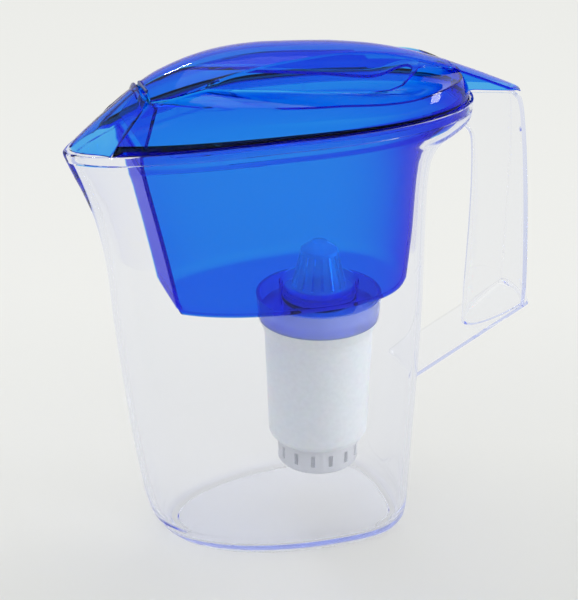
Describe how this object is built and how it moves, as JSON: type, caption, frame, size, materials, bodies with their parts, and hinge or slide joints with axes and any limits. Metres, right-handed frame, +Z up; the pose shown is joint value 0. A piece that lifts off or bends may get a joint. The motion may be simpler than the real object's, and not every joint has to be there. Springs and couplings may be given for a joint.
{
  "type": "water filter pitcher",
  "caption": "Clear water filter pitcher with hollow handle, translucent blue filling funnel, flip lid with spout flap, and a screw-on filter cartridge under the funnel.",
  "frame": {"origin": "on the table, under the middle of the pitcher's length from spout tip to handle, and midway across it", "axes": "+X towards the handle, -X towards the spout, +Y across the jug away from the picture's viewer, +Z up"},
  "size_m": [0.2495, 0.1036, 0.2685],
  "materials": {
    "clear_plastic": "clear polished moulding",
    "blue_plastic": "translucent blue polished moulding",
    "pin_steel": "drawn wire",
    "white_plastic": "smooth white moulding",
    "lilac_plastic": "pale blue moulding",
    "seal_rubber": "soft sealing ring",
    "strainer_plastic": "clear moulding",
    "felt_pad": "fine fibre pad",
    "carbon_granules": "packed dark granules",
    "grey_plastic": "smooth pale grey moulding"
  },
  "bodies": {
    "jug": {"jug_body": "clear_plastic", "handle_grip": "clear_plastic", "handle_strut": "clear_plastic"},
    "funnel_body": {"funnel": "blue_plastic"},
    "lid": {"lid_frame": "blue_plastic", "hinge_pin": "pin_steel"},
    "flip": {"flip_lid": "blue_plastic"},
    "flap": {"spout_flap": "blue_plastic"},
    "cartridge": {"cartridge_body": "white_plastic", "cartridge_collar": "lilac_plastic", "neck_seal": "seal_rubber", "intake_strainer": "strainer_plastic", "top_pad": "felt_pad", "sorbent_bed": "carbon_granules", "bottom_pad": "felt_pad", "outlet_cap": "grey_plastic"}
  },
  "joints": [
    {"name": "funnel_lift", "type": "slide", "parent": "jug", "child": "funnel_body", "axis": [0, 0, 1], "range_m": [0, 0.215]},
    {"name": "lid_lift", "type": "slide", "parent": "funnel_body", "child": "lid", "axis": [0, 0, 1], "range_m": [0, 0.08]},
    {"name": "flip_lid_hinge", "type": "hinge", "parent": "lid", "child": "flip", "pos_m": [-0.0828, 0, 0.2528], "axis": [0, -1, 0], "range_deg": [0, 75]},
    {"name": "spout_flap_hinge", "type": "hinge", "parent": "lid", "child": "flap", "pos_m": [-0.0828, 0, 0.2528], "axis": [0, 1, 0], "range_deg": [0, 25]},
    {"name": "cartridge_release", "type": "slide", "parent": "funnel_body", "child": "cartridge", "axis": [0, 0, -1], "range_m": [0, 0.02]}
  ]
}
